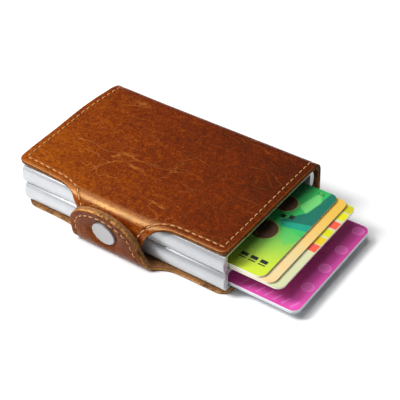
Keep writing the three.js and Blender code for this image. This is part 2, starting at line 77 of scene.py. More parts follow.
TAB_FOLD_Y = -29.0
TAB_FOLD_RADIUS = 5.95
TAB_FOLD_Z = TOP_Z - TAB_FOLD_RADIUS
TAB_BOTTOM_Z = 4.6
CLOSURE_X = -2.3
CLOSURE_Z = 11.0
LEAN_DEGREES = 8
LEAN = math.radians(LEAN_DEGREES)

STRAP_SEAM_Y = -26.0
STRAP_SEAM_LEFT = -37.6
STRAP_SEAM_RIGHT = 33.0
STRAP_AXIS = (0.0, -34.45, 1.0)
STRAP_LEFT_WIDTH = 16.6
STRAP_RIGHT_WIDTH = 15.8
STRAP_SHOULDER_Z = 9.6
STRAP_TOP_Z = 21.3
STRAP_SWELL = 0.8
STRAP_FACE_Y = -36.86
SNAP_DROP = 0.1
KEEPER_HOLE = 4.0
CUP_HOLE = 3.85

CASE_HALF_LENGTH = 48.5
CASE_HALF_WIDTH = 31.25
CASE_HEIGHT = 8.2
CASE_BOW = 1.5
CAVITY_HALF = 28.2
CASE_WALL = 0.8
CAVITY_CORNER = 0.6
CASE_FLOORS = {"lower": 2.2, "upper": 10.7}
CASE_END_ROUND = 0.25
CASE_END_SOFT = 0.07
CASE_EDGE = 0.5
CASE_SIDE_TRIM = 4
CASE_SIDE_POINTS = 40
MOUTH_CHAMFER = 0.12

STITCH_INSET = 2.7
STITCH_LENGTH = 2.25
STITCH_PITCH = 3.1
STITCH_RADIUS = 0.24
STITCH_SLANT = 0.06
# A stitch's direction is taken this far to both sides. Where the seam is cut short, the two places
# are closer or further apart than this spread.
SEAM_STEP = 0.6
SEAM_SPREAD = (0.9, 1.3)
THREAD_DEPTH = 0.14
GROOVE_DEPTH = 0.16
GROOVE_WIDTH = 0.42
THREAD_RISE = 0.17
THREAD_DIP = 0.42
THREAD_TWIST = 0.1
THREAD_RINGS = 9
THREAD_SIDES = 8
HOLE_SIDES = 8
HOLE_LENGTH = 0.4
HOLE_WIDTH = 0.36
HOLE_SETBACK = 0.12

# How high the leather stands proud of its section, in its crown, its puckers and its lifted corners.
CROWN = 0.35
PUCKER = 0.12
PUCKER_SIZE = 21
SMALL_PUCKER = 0.06
SMALL_PUCKER_SIZE = 8
LEFT_LIFT = 1.25
RIGHT_LIFT = 0.45
BACK_LIFT = 1.3
STRAP_WAVE = 0.12
STRAP_WAVE_SIZE = 9

# ---------------------------------------------------------------- curves and outlines


def arc(centre, radius, start, end, step=0.25):
    """Points on an arc, from angle start to angle end in degrees."""
    count = max(2, math.ceil(abs(math.radians(end - start)) * radius / step))
    angles = np.radians(np.linspace(start, end, count + 1))
    return np.stack([centre[0] + radius * np.cos(angles), centre[1] + radius * np.sin(angles)], axis=1)


def lengths_of(line):
    """The length along a line from its start to each of its points."""
    return np.concatenate([[0], np.cumsum(np.linalg.norm(np.diff(line, axis=0), axis=1))])


def on_line(line, lengths, places):
    """The points on a line at lengths along it."""
    columns = [np.interp(places, lengths, line[:, 0]), np.interp(places, lengths, line[:, 1])]
    return np.stack(columns, axis=-1)


def spaced(line, count):
    """count points evenly along a line, its two ends among them."""
    lengths = lengths_of(line)
    return on_line(line, lengths, np.linspace(0, lengths[-1], count))


def resampled(points, step):
    """The same line with points an even distance apart, about step."""
    line = np.array(points, float)
    return spaced(line, max(1, round(lengths_of(line)[-1] / step)) + 1)


def flowing(points, step=0.25):
    """A smooth curve through the points."""
    points = [np.array(p, float) for p in points]
    padded = [2 * points[0] - points[1]] + points + [2 * points[-1] - points[-2]]
    curve = [points[0]]
    for before, a, b, after in zip(padded, padded[1:], padded[2:], padded[3:]):
        count = max(2, math.ceil(np.linalg.norm(b - a) / step))
        for t in np.linspace(0, 1, count + 1)[1:]:
            bend = 2 * a + (b - before) * t
            bend = bend + (2 * before - 5 * a + 4 * b - after) * t * t
            bend = bend + (3 * a - before - 3 * b + after) * t * t * t
            curve.append(bend / 2)
    return np.array(curve)


def chained(*runs):
    """One line from several that meet end to end."""
    line = [np.array(runs[0], float)]
    for run in runs[1:]:
        line.append(np.array(run, float)[1:])
    return np.concatenate(line)


class Section:
    """The outer face of a sheet seen along X, with the direction that points out of it."""

    def __init__(self, points, side):
        self.points = resampled(points, 0.2)
        self.lengths = lengths_of(self.points)
        tangent = np.gradient(self.points, self.lengths, axis=0)
        self.outward = side * np.stack([tangent[:, 1], -tangent[:, 0]], axis=1)
        self.length = float(self.lengths[-1])

    def place(self, x, s, depth):
        """Points in space for places on the sheet at a depth under its outer face."""
        y, z, ny, nz = (
            np.interp(s, self.lengths, column)
            for column in (self.points[:, 0], self.points[:, 1], self.outward[:, 0], self.outward[:, 1])
        )
        size = np.hypot(ny, nz)
        return np.stack([x, y - ny / size * depth, z - nz / size * depth], axis=1)

    def nearest(self, y, z):
        """The length along the section of the point nearest to y, z."""
        return float(self.lengths[np.argmin(np.hypot(self.points[:, 0] - y, self.points[:, 1] - z))])


def lean_point(z):
    """The tab's outer face under the fold, at a height."""
    end = math.pi + LEAN
    y = TAB_FOLD_Y + TAB_FOLD_RADIUS * math.cos(end)
    start_z = TAB_FOLD_Z + TAB_FOLD_RADIUS * math.sin(end)
    return (y + (start_z - z) * math.tan(LEAN), z)


corner_y = SPINE_OUTER - SPINE_RADIUS
cover_section = Section(
    chained(
        [(COVER_FRONT, 0), (corner_y, 0)],
        arc((corner_y, SPINE_RADIUS), SPINE_RADIUS, -90, 0),
        [(SPINE_OUTER, SPINE_RADIUS), (SPINE_OUTER, TOP_Z - SPINE_RADIUS)],
        arc((corner_y, TOP_Z - SPINE_RADIUS), SPINE_RADIUS, 0, 90),
        [(corner_y, TOP_Z), (TAB_FOLD_Y, TOP_Z)],
        arc((TAB_FOLD_Y, TAB_FOLD_Z), TAB_FOLD_RADIUS, 90, 180 + LEAN_DEGREES),
        [lean_point(TAB_FOLD_Z - TAB_FOLD_RADIUS * math.sin(LEAN)), lean_point(TAB_BOTTOM_Z)],
    ),
    side=1,
)
strap_section = Section(
    flowing(
        [
            (STRAP_SEAM_Y, 0),
            (-28.5, 0),
            (-31, 0),
            (-33.2, 0.12),
            (-35.1, 0.95),
            (-36.15, 2.7),
            (-36.45, 5.2),
            (-36.62, 8),
            (STRAP_FACE_Y, CLOSURE_Z),
            (-37.5, 15.5),
            (-38.33, STRAP_TOP_Z + 0.2),
        ]
    ),
    side=-1,
)

S_SPINE_MIDDLE = cover_section.nearest(SPINE_OUTER, TOP_Z / 2)
S_TOP_FRONT = cover_section.nearest(
    COVER_FRONT,
    TAB_FOLD_Z + math.sqrt(TAB_FOLD_RADIUS**2 - (COVER_FRONT - TAB_FOLD_Y) ** 2),
)
S_TOP_BACK = cover_section.nearest(corner_y, TOP_Z)
S_KEEPER = cover_section.nearest(*lean_point(CLOSURE_Z))
S_TAB_END = cover_section.length
S_PANEL_FRONT = STRAP_SEAM_Y - COVER_FRONT
S_SNAP = strap_section.nearest(STRAP_FACE_Y, CLOSURE_Z - SNAP_DROP)


class Outline:
    """A closed line round a flat sheet, with the sheet on its left. Each run is (points, free): a run
    that isn't free is a seam, where the sheet goes on in another mesh."""

    def __init__(self, runs, step=0.8):
        points, free = [], []
        for line, is_free in runs:
            line = resampled(line, step)
            points.extend(line[:-1])
            free.extend([is_free] * (len(line) - 1))
        self.points = np.array(points)
        self.free = np.array(free)
        edge = np.roll(self.points, -1, axis=0) - self.points
        self.along = edge / np.linalg.norm(edge, axis=1)[:, None]
        self.inward = np.array([self._inward(i) for i in range(len(points))])

    def _inward(self, i):
        """How the point at i moves for each millimetre that the free edges move in."""
        before, after = self.along[i - 1], self.along[i]
        left_before = np.array([-before[1], before[0]])
        left_after = np.array([-after[1], after[0]])
        if self.free[i - 1] and self.free[i]:
            return (left_before + left_after) / (1 + left_before @ left_after)
        if self.free[i - 1]:
            return after / (after @ left_before)
        if self.free[i]:
            return -before / (-before @ left_after)
        return np.zeros(2)

    def inset(self, distance):
        return self.points + self.inward * distance


def round_angles(count):
    """count angles evenly round a circle."""
    return np.linspace(0, 2 * math.pi, count + 1)[:-1]


def circle(x, s, radius):
    """A round hole, as an outline with the sheet on its left."""
    return Outline([(arc((x, s), radius, 360, 0), True)], 0.5)


def inside(points, polygon):
    """Which points lie inside a polygon."""
    x, y = points[:, 0:1], points[:, 1:2]
    x0, y0 = polygon[:, 0], polygon[:, 1]
    x1, y1 = np.roll(x0, -1), np.roll(y0, -1)
    spans = (y0 > y) != (y1 > y)
    rise = np.where(y1 == y0, 1, y1 - y0)
    return (spans & (x < (x1 - x0) * (y - y0) / rise + x0)).sum(axis=1) % 2 == 1


def distance_to(points, outlines, free_only):
    """The distance from each point to the nearest edge of the outlines."""
    best = np.full(len(points), 1e6)
    for outline in outlines:
        keep = outline.free if free_only else np.ones(len(outline.points), bool)
        starts = outline.points[keep]
        edges = (np.roll(outline.points, -1, axis=0) - outline.points)[keep]
        for start, edge in zip(starts, edges):
            t = np.clip(((points - start) @ edge) / (edge @ edge), 0, 1)
            gap = points - (start + t[:, None] * edge)
            best = np.minimum(best, np.hypot(gap[:, 0], gap[:, 1]))
    return best


# ---------------------------------------------------------------- the three outlines


def bottom_panel_outline():
    corner = BOTTOM_CORNER
    left_corner = arc((COVER_LEFT + corner, corner), corner, 180, 270)
    right_corner = arc((COVER_RIGHT - corner, corner), corner, 270, 360)
    return Outline(
        [
            (left_corner, True),
            ([(COVER_LEFT + corner, 0), (STRAP_SEAM_LEFT, 0)], True),
            ([(STRAP_SEAM_LEFT, 0), (STRAP_SEAM_LEFT, S_PANEL_FRONT)], False),
            ([(STRAP_SEAM_LEFT, S_PANEL_FRONT), (STRAP_SEAM_RIGHT, S_PANEL_FRONT)], False),
            ([(STRAP_SEAM_RIGHT, S_PANEL_FRONT), (STRAP_SEAM_RIGHT, 0)], False),
            ([(STRAP_SEAM_RIGHT, 0), (COVER_RIGHT - corner, 0)], True),
            (right_corner, True),
            ([(COVER_RIGHT, corner), (COVER_RIGHT, S_SPINE_MIDDLE)], True),
            ([(COVER_RIGHT, S_SPINE_MIDDLE), (COVER_LEFT, S_SPINE_MIDDLE)], False),
            ([(COVER_LEFT, S_SPINE_MIDDLE), (COVER_LEFT, corner)], True),
        ]
    )


# The tab's edges as (distance from the closure's middle, length past the panel's front edge).
TAB_RIGHT = [(33.0, 0.0), (27.2, 0.4), (22.4, 2.5), (19.4, 5.8), (16.3, 11.2), (13.2, 17.2), (10.0, 18.7)]
TAB_LEFT = [(31.0, 0.0), (24.7, 0.3), (19.4, 2.0), (16.3, 4.9), (13.9, 9.0), (12.9, 15.2), (10.0, 18.7)]


def tab_edge(distances, side):
    """One side of the tab, from the panel's front edge down to its lower end."""
    last = S_TAB_END - 0.05
    return flowing([(CLOSURE_X + side * x, min(S_TOP_FRONT + s, last)) for x, s in distances])


def top_panel_outline():
    corner = TOP_CORNER
    front = S_TOP_FRONT
    right_side = tab_edge(TAB_RIGHT, 1)
    left_side = tab_edge(TAB_LEFT, -1)[::-1]
    right_corner = arc((COVER_RIGHT - corner, front - corner), corner, 0, 90)
    left_corner = arc((COVER_LEFT + corner, front - corner), corner, 90, 180)
    bowed = [(COVER_LEFT, front - corner)]
    for t in np.linspace(0.1, 0.9, 9):
        s = front - corner - t * (front - corner - S_TOP_BACK)
        bowed.append((COVER_LEFT - TOP_LEFT_BOW * math.sin(math.pi * t) ** 1.5, s))
    back = (COVER_LEFT, S_TOP_BACK)
    bowed = chained(flowing(bowed + [back]), [back, (COVER_LEFT, S_SPINE_MIDDLE)])
    return Outline(
        [
            ([(COVER_LEFT, S_SPINE_MIDDLE), (COVER_RIGHT, S_SPINE_MIDDLE)], False),
            ([(COVER_RIGHT, S_SPINE_MIDDLE), (COVER_RIGHT, front - corner)], True),
            (right_corner, True),
            ([(COVER_RIGHT - corner, front), right_side[0]], True),
            (right_side, True),
            ([right_side[-1], left_side[0]], True),
            (left_side, True),
            ([left_side[-1], (COVER_LEFT + corner, front)], True),
            (left_corner, True),
            (bowed, True),
        ]
    )


# Where the strap widens into the bottom panel, as (distance from the closure's middle, length past
# the panel's front edge).
FLARE_RIGHT = [(31.0, 0.04), (25.4, 0.6), (21.4, 2.9), (19.3, 6.0), (18.0, 9.4)]
FLARE_LEFT = [(30.2, 0.06), (22.2, 0.8), (17.4, 3.5), (16.6, 8.2)]


def strap_edge(flare, half_width, side):
    """One side of the strap, from the panel's front edge to the top of its arch."""
    seam = STRAP_SEAM_RIGHT if side > 0 else STRAP_SEAM_LEFT
    line = [(seam, S_PANEL_FRONT)]
    line += [(CLOSURE_X + side * x, S_PANEL_FRONT + s) for x, s in flare]
    for angle in np.radians(np.linspace(0, 90, 10)):
        z = STRAP_SHOULDER_Z + (STRAP_TOP_Z - STRAP_SHOULDER_Z) * math.sin(angle)
        s = float(np.interp(z, strap_section.points[:, 1], strap_section.lengths))
        line.append((CLOSURE_X + side * half_width * math.cos(angle), s))
    return flowing(line)


def strap_outline():
    front = S_PANEL_FRONT
    return Outline(
        [
            ([(STRAP_SEAM_LEFT, 0), (STRAP_SEAM_RIGHT, 0)], False),
            ([(STRAP_SEAM_RIGHT, 0), (STRAP_SEAM_RIGHT, front)], False),
            (strap_edge(FLARE_RIGHT, STRAP_RIGHT_WIDTH, 1), True),
            (strap_edge(FLARE_LEFT, STRAP_LEFT_WIDTH, -1)[::-1], True),
            ([(STRAP_SEAM_LEFT, front), (STRAP_SEAM_LEFT, 0)], False),
        ]
    )


# ---------------------------------------------------------------- the leather's relief


def smooth(value, low, high):
    t = min(max((value - low) / (high - low), 0.0), 1.0)
    return t * t * (3 - 2 * t)


def wave(x, s, size, seed):
    """Smooth noise from about -1 to 1 with waves of a size in millimetres."""
    return noise.noise(Vector((x / size, s / size, seed)))


def top_relief(x, s):
    """How far the top panel and the spine's upper half stand proud of their section."""
    crown = CROWN * smooth(s, S_TOP_BACK - 4, S_TOP_BACK + 20) * smooth(S_TOP_FRONT + 3 - s, 0, 14)
    puckers = PUCKER * wave(x, s, PUCKER_SIZE, 1.3) + SMALL_PUCKER * wave(x, s, SMALL_PUCKER_SIZE, 4.1)
    puckers *= smooth(s, S_TOP_BACK, S_TOP_BACK + 30)
    corner = math.hypot(x - COVER_LEFT, (s - S_TOP_FRONT) * 0.9)
    left = LEFT_LIFT * (1 - smooth(corner, 2, 27)) * (1 - smooth(s, S_TOP_FRONT + 1, S_TOP_FRONT + 6))
    right = RIGHT_LIFT * smooth(x, 20, 46) * smooth(s, S_TOP_FRONT - 16, S_TOP_FRONT)
    right *= 1 - smooth(s, S_TOP_FRONT, S_TOP_FRONT + 4)
    back = BACK_LIFT * smooth(-x, 22, 50) * smooth(s, S_TOP_BACK - 6, S_TOP_BACK + 4)
    back *= 1 - smooth(s, S_TOP_BACK + 6, S_TOP_BACK + 40)
    return crown + puckers + left + right + back


def strap_relief(x, s):
    """The strap swells between its seam and the snap, and the snap's cap presses it in."""
    from_cap = math.hypot(x - CLOSURE_X, s - S_SNAP)
    dished = STRAP_SWELL * (1 - smooth(from_cap, 5.2, 8.6))
    risen = smooth(s, S_PANEL_FRONT + 3, S_PANEL_FRONT + 10)
    return (STRAP_SWELL + STRAP_WAVE * wave(x, s, STRAP_WAVE_SIZE, 7.7) - dished) * risen


def flat_relief(x, s):
    """The bottom panel, and the strap's inner face, keep to their sections."""
    return 0.0


def lifts(relief, places):
    return np.array([relief(x, s) for x, s in places])


# ---------------------------------------------------------------- sheet meshes

GROOVE_ROWS = (1.9, 2.3, 2.55, 2.75, 3.0, 3.3, 3.75)
GRID_STEP = 1.5
RIM_INSET = 0.3
ROUND_ROWS = ((0.11, 0.06), (0.0, 0.26))
BEND_STEP = 0.65
EDGE_CLEARANCE = 0.95
BORDER_CLEARANCE = 0.5
GROOVE_CLEARANCE = (0.6, 0.5)
RIM_REACH = 12


def groove(edge_distance):
    """The depth that the seam's thread pulls the leather down."""
    return GROOVE_DEPTH * np.exp(-(((edge_distance - STITCH_INSET) / GROOVE_WIDTH) ** 2))


def new_piece(name, vertices, polygons, looks):
    """A piece from arrays of points in millimetres, one after another, and the faces between them."""
    mesh = bpy.data.meshes.new(name)
    mesh.from_pydata((np.concatenate(vertices) * MM).tolist(), [], polygons)
    for look in looks:
        mesh.materials.append(look)
    piece = bpy.data.objects.new(name, mesh)
    bpy.context.collection.objects.link(piece)
    return piece


def sheet_points(outlines, stitched, bend_rows):
    """The places inside the outlines that a sheet's faces run through."""
    lows = outlines[0].points.min(axis=0)
    highs = outlines[0].points.max(axis=0)
    rows = list(np.arange(lows[1], highs[1], GRID_STEP))
    for start, end in bend_rows:
        rows = [r for r in rows if not start <= r <= end] + list(np.arange(start, end, BEND_STEP))
    columns = np.arange(lows[0] + 0.4, highs[0], GRID_STEP)
    grid = np.array([(x, s) for s in rows for x in columns])
    distance = distance_to(grid, outlines, False)
    hidden = distance < EDGE_CLEARANCE
    if stitched:
        near_seam = distance_to(grid, outlines[:1], True)
        first, last = GROOVE_ROWS[0] - GROOVE_CLEARANCE[0], GROOVE_ROWS[-1] + GROOVE_CLEARANCE[1]
        hidden |= (near_seam > first) & (near_seam < last)
    places = [grid[~hidden]]
    if stitched:
        for row in GROOVE_ROWS:
            ring = outlines[0].inset(row)
            free = outlines[0].free & np.roll(outlines[0].free, 1)
            clear = distance_to(ring, outlines, False) > row - 0.06
            places.append(ring[free & clear])
    places = np.concatenate(places)
    keep = inside(places, outlines[0].inset(BORDER_CLEARANCE))
    for hole in outlines[1:]:
        keep &= ~inside(places, hole.inset(BORDER_CLEARANCE))
    return places[keep]


def sheet(name, section, outlines, top, bottom, relief, looks, stitched=False, bends=(), under=None):
    """A bent sheet of leather with round edges. looks are the materials of its outer face and of the
    rest. under is the relief of its inner face, if that differs. Its UV map is the flat sheet, and its
    attribute rim is the distance to the cut edge."""
    under = under or relief
    borders = [outline.inset(RIM_INSET) for outline in outlines]
    inner = sheet_points(outlines, stitched, bends)
    flat = np.concatenate(borders + [inner])
    constraints, first = [], 0
    for border in borders:
        count = len(border)
        constraints += [(first + i, first + (i + 1) % count) for i in range(count)]
        first += count
    found, _, faces, sources, _, _ = delaunay_2d_cdt([Vector(p) for p in flat], constraints, [], 0, 1e-5)
    made = np.array([tuple(p) for p in found])
    index_of = {source: i for i, group in enumerate(sources) for source in group}
    faces = np.array([f for f in faces if len(f) == 3])
    middles = made[faces].mean(axis=1)
    keep = inside(middles, borders[0])
    for border in borders[1:]:
        keep &= ~inside(middles, border)
    faces = faces[keep]

    edge_distance = np.minimum(distance_to(made, outlines, True), RIM_REACH)
    sewn = distance_to(made, outlines[:1], True)
    sunk = groove(sewn) if stitched else 0
    vertices = [
        section.place(made[:, 0], made[:, 1], top - lifts(relief, made) + sunk),
        section.place(made[:, 0], made[:, 1], bottom - lifts(under, made)),
    ]
    places, rims = [made, made], [edge_distance, edge_distance]
    total = len(made)
    polygons = [tuple(f) for f in faces]
    polygons += [tuple(i + total for i in reversed(f)) for f in faces]
    kinds = [0] * len(faces) + [1] * len(faces)

    offset = 2 * total
    first = 0
    for outline, border in zip(outlines, borders):
        count = len(border)
        rows = [[index_of[first + i] for i in range(count)]]
        levels = [(inset, top + depth, relief) for inset, depth in ROUND_ROWS]
        levels += [(inset, bottom - depth, under) for inset, depth in reversed(ROUND_ROWS)]
        for inset, depth, shape in levels:
            ring = outline.inset(inset)
            vertices.append(section.place(ring[:, 0], ring[:, 1], depth - lifts(shape, ring)))
            places.append(ring)
            rims.append(np.full(count, inset))
            rows.append(list(range(offset, offset + count)))
            offset += count
        rows.append([index_of[first + i] + total for i in range(count)])
        for level, (upper, lower) in enumerate(zip(rows, rows[1:])):
            for i in range(count):
                if outline.free[i]:
                    j = (i + 1) % count
                    polygons.append((upper[i], lower[i], lower[j], upper[j]))
                    kinds.append(0 if level == 0 else 1)
        first += count

    if section is strap_section:
        polygons = [tuple(reversed(p)) for p in polygons]
    piece = new_piece(name, vertices, polygons, looks)
    mesh = piece.data
    mesh.validate()
    flat_places = np.concatenate(places) / UV_MM
    corner_vertices = np.zeros(len(mesh.loops), int)
    mesh.loops.foreach_get("vertex_index", corner_vertices)
    uv = mesh.uv_layers.new(name="flat_sheet")
    uv.data.foreach_set("uv", flat_places[corner_vertices].ravel())
    rim = mesh.attributes.new("rim", "FLOAT", "POINT")
    rim.data.foreach_set("value", np.concatenate(rims).astype(np.float32))
    mesh.polygons.foreach_set("material_index", kinds[: len(mesh.polygons)])
    mesh.shade_smooth()
    return piece


# ---------------------------------------------------------------- stitches


def stitches(name, section, outline, relief, allowed):
    """Thread along the outline: capsules that dip into the leather, with a shallow dark dish at each
    end, painted shade for the needle hole.
    allowed says where on the sheet there is a seam."""
    line = outline.inset(STITCH_INSET)
    clear = distance_to(line, [outline], True) > STITCH_INSET - 0.15
    line = line[clear]
    lengths = lengths_of(line)
    vertices, polygons, kinds = [], [], []

    def add(local, faces, kind, centre, along):
        across = np.array([-along[1], along[0]])
        places = centre + local[:, 0:1] * along + local[:, 1:2] * across
        start = sum(len(v) for v in vertices)
        depth = THREAD_DEPTH - lifts(relief, places) - local[:, 2]
        vertices.append(section.place(places[:, 0], places[:, 1], depth))
        polygons.extend(tuple(start + i for i in f) for f in faces)
        kinds.extend([kind] * len(faces))

    thread, thread_faces = [], []
    for i in range(THREAD_RINGS):
        u = i / (THREAD_RINGS - 1) * 2 - 1
        radius = STITCH_RADIUS * math.sqrt(max(0.0, 1 - abs(u) ** 5)) + 0.02
        height = THREAD_RISE - THREAD_DIP * abs(u) ** 4
        for k in range(THREAD_SIDES):
            angle = 2 * math.pi * k / THREAD_SIDES
            twist = 1 + THREAD_TWIST * math.sin(2 * angle + u * 9)
            reach = radius * twist
            thread.append((u * STITCH_LENGTH / 2, reach * math.cos(angle), height + reach * math.sin(angle)))
    for row in range(0, (THREAD_RINGS - 1) * THREAD_SIDES, THREAD_SIDES):
        next_row = row + THREAD_SIDES
        for k in range(THREAD_SIDES):
            after = (k + 1) % THREAD_SIDES
            thread_faces.append((row + k, row + after, next_row + after, next_row + k))
    thread = np.array(thread)
    hole = [(0.0, 0.0, -0.06)]
    hole += [(HOLE_LENGTH * math.cos(a), HOLE_WIDTH * math.sin(a), -0.02) for a in round_angles(HOLE_SIDES)]
    hole = np.array(hole)
    hole_faces = [(0, 1 + k, 1 + (k + 1) % HOLE_SIDES) for k in range(HOLE_SIDES)]

    place = STITCH_PITCH / 2
    while place < lengths[-1]:
        centre = on_line(line, lengths, place)
        along = on_line(line, lengths, place + SEAM_STEP) - on_line(line, lengths, place - SEAM_STEP)
        spread = np.linalg.norm(along)
        if allowed(centre[0], centre[1]) and SEAM_SPREAD[0] < spread < SEAM_SPREAD[1]:
            along = along / spread
            along = along + np.array([-along[1], along[0]]) * STITCH_SLANT
            along = along / np.linalg.norm(along)
            add(thread, thread_faces, 0, centre, along)
            for end in (-1, 1):
                add(hole, hole_faces, 1, centre + along * end * (STITCH_LENGTH / 2 + HOLE_SETBACK), along)
        place += STITCH_PITCH
    piece = new_piece(name, vertices, polygons, (waxed_thread, needle_hole_shade))
    piece.data.polygons.foreach_set("material_index", kinds)
    piece.data.shade_smooth()
    return piece


# ---------------------------------------------------------------- hard pieces


def from_rows(name, rows, look, closed=True):
    """A mesh from rows of points, each row a closed ring, joined row to row."""
    count = len(rows[0])
    polygons = []
    pairs = list(zip(range(len(rows)), range(1, len(rows))))
    if closed:
        pairs.append((len(rows) - 1, 0))
    for a, b in pairs:
        for i in range(count):
            j = (i + 1) % count
            polygons.append((a * count + i, a * count + j, b * count + j, b * count + i))
    return new_piece(name, rows, polygons, [look])


def smooth_by_angle(piece, degrees):
    piece.data.shade_smooth()
    piece.data.set_sharp_from_angle(angle=math.radians(degrees))


def facing_out(piece):
    """Turns the faces of a closed mesh outwards."""
    volume = 0.0
    for polygon in piece.data.polygons:
        corners = [piece.data.vertices[i].co for i in polygon.vertices]
        for b, c in zip(corners[1:], corners[2:]):
            volume += corners[0].dot(b.cross(c))
    if volume < 0:
        piece.data.flip_normals()


def case_ring(inset, cavity):
    """The case's outer outline, or its cavity's, as the same number of points round from low right."""
    half = CASE_HEIGHT / 2
    bow_radius = (half**2 + CASE_BOW**2) / (2 * CASE_BOW)
    bow_angle = math.degrees(math.asin(half / bow_radius))
    if cavity:
        corner = CAVITY_CORNER
        low, high = CASE_WALL - inset, CASE_HEIGHT - CASE_WALL + inset
        edge = CAVITY_HALF + inset
        side = chained(
            arc((edge - corner, low + corner), corner, -90, 0, 0.12),
            [(edge, low + corner), (edge, high - corner)],
            arc((edge - corner, high - corner), corner, 0, 90, 0.12),
        )
    else:
        centre = CASE_HALF_WIDTH - bow_radius
        turn = bow_angle - CASE_SIDE_TRIM
        bowed = arc((centre, half), bow_radius - inset, -turn, turn)
        low_edge = (bowed[0][0] - CASE_EDGE, inset)
        high_edge = (bowed[-1][0] - CASE_EDGE, CASE_HEIGHT - inset)
        side = np.concatenate([[low_edge], bowed, [high_edge]])
    side = spaced(side, CASE_SIDE_POINTS)
    other = side[::-1] * np.array([-1, 1])
    return np.concatenate([side, other])


def case_shell(name, floor, look):
    """An aluminium case: a drawn tube with bowed sides and small chamfers round its two ends."""
    half = CASE_HALF_LENGTH
    levels = [
        (-half + CASE_END_ROUND, 0.0, False),
        (half - CASE_END_ROUND, 0.0, False),
        (half - CASE_END_SOFT, CASE_END_SOFT, False),
        (half, CASE_END_ROUND, False),
        (half, MOUTH_CHAMFER, True),
        (half - MOUTH_CHAMFER, 0.0, True),
        (-half + MOUTH_CHAMFER, 0.0, True),
        (-half, MOUTH_CHAMFER, True),
        (-half, CASE_END_ROUND, False),
        (-half + CASE_END_SOFT, CASE_END_SOFT, False),
    ]
    rows = []
    for x, inset, cavity in levels:
        ring = case_ring(inset, cavity)
        rows.append(np.stack([np.full(len(ring), x), ring[:, 0], ring[:, 1] + floor], axis=1))
    piece = from_rows(name, rows, look)
    facing_out(piece)
    smooth_by_angle(piece, 28)
    return piece


def turned(name, profile, look, place, sides=72):
    """A round piece from (radius, height) pairs about its own Z, set by the matrix place."""
    rows = []
    for radius, height in profile:
        ring = [(radius * math.cos(a), radius * math.sin(a), height) for a in round_angles(sides)]
        rows.append(np.array([tuple(place @ Vector(p)) for p in ring]))
    piece = from_rows(name, rows, look, closed=False)
    facing_out(piece)
    smooth_by_angle(piece, 32)
    return piece


# ---------------------------------------------------------------- material helpers


def rgb(red, green, blue):
    """A colour given as on a screen, from 0 to 255."""
    linear = []
    for value in (red, green, blue):
        value = value / 255
        linear.append(value / 12.92 if value <= 0.04045 else ((value + 0.055) / 1.055) ** 2.4)
    return (*linear, 1.0)


def new_material(name, **settings):
    """A material whose shader has the settings, each named as its socket."""
    material = bpy.data.materials.new(name)
    material.use_nodes = True
    tree = material.node_tree
    shader = tree.nodes["Principled BSDF"]
    for key, value in settings.items():
        shader.inputs[key.replace("_", " ")].default_value = value
    return material, tree, shader


def node(tree, kind, inputs=None, **settings):
    """A shader node. inputs are values, or the sockets that feed them."""
    made = tree.nodes.new("ShaderNode" + kind)
    for key, value in settings.items():
        setattr(made, key, value)
    for key, value in (inputs or {}).items():
        if isinstance(value, bpy.types.NodeSocket):
            tree.links.new(value, made.inputs[key])
        else:
            made.inputs[key].default_value = value
    return made


def maths(tree, operation, a, b=0.0, c=0.0):
    return node(tree, "Math", {0: a, 1: b, 2: c}, operation=operation).outputs[0]


def mixed(tree, factor, a, b, blend_type="MIX"):
    return node(tree, "Mix", {0: factor, 6: a, 7: b}, data_type="RGBA", blend_type=blend_type).outputs[2]


def remap(tree, value, low, high, new_low=0.0, new_high=1.0):
    inputs = {"Value": value, "From Min": low, "From Max": high, "To Min": new_low, "To Max": new_high}
    return node(tree, "MapRange", inputs, interpolation_type="SMOOTHSTEP").outputs[0]


def noise_of(tree, vector, scale, detail=3.0, roughness=0.55, distortion=0.0):
    inputs = {"Vector": vector, "Scale": scale, "Detail": detail, "Roughness": roughness}
    return node(tree, "TexNoise", {**inputs, "Distortion": distortion}).outputs["Fac"]


def bump(tree, height, strength, distance, normal=None):
    inputs = {"Height": height, "Strength": strength, "Distance": distance}
    if normal is not None:
        inputs["Normal"] = normal
    return node(tree, "Bump", inputs).outputs[0]


def object_place(tree):
    """The place on a piece, in metres."""
    return node(tree, "TexCoord").outputs["Object"]


def link(tree, value, shader, socket):
    tree.links.new(value, shader.inputs[socket])


# ---------------------------------------------------------------- leather materials

# The creases that run across the leather, as (turn, folds per 100 mm, seed).
CREASES = ((0.5, 3.2, 1.7), (-0.9, 2.6, 5.2), (1.6, 3.6, 9.1))
CREASE_STRETCH = 2.2
CREASE_WIDTH = 0.006


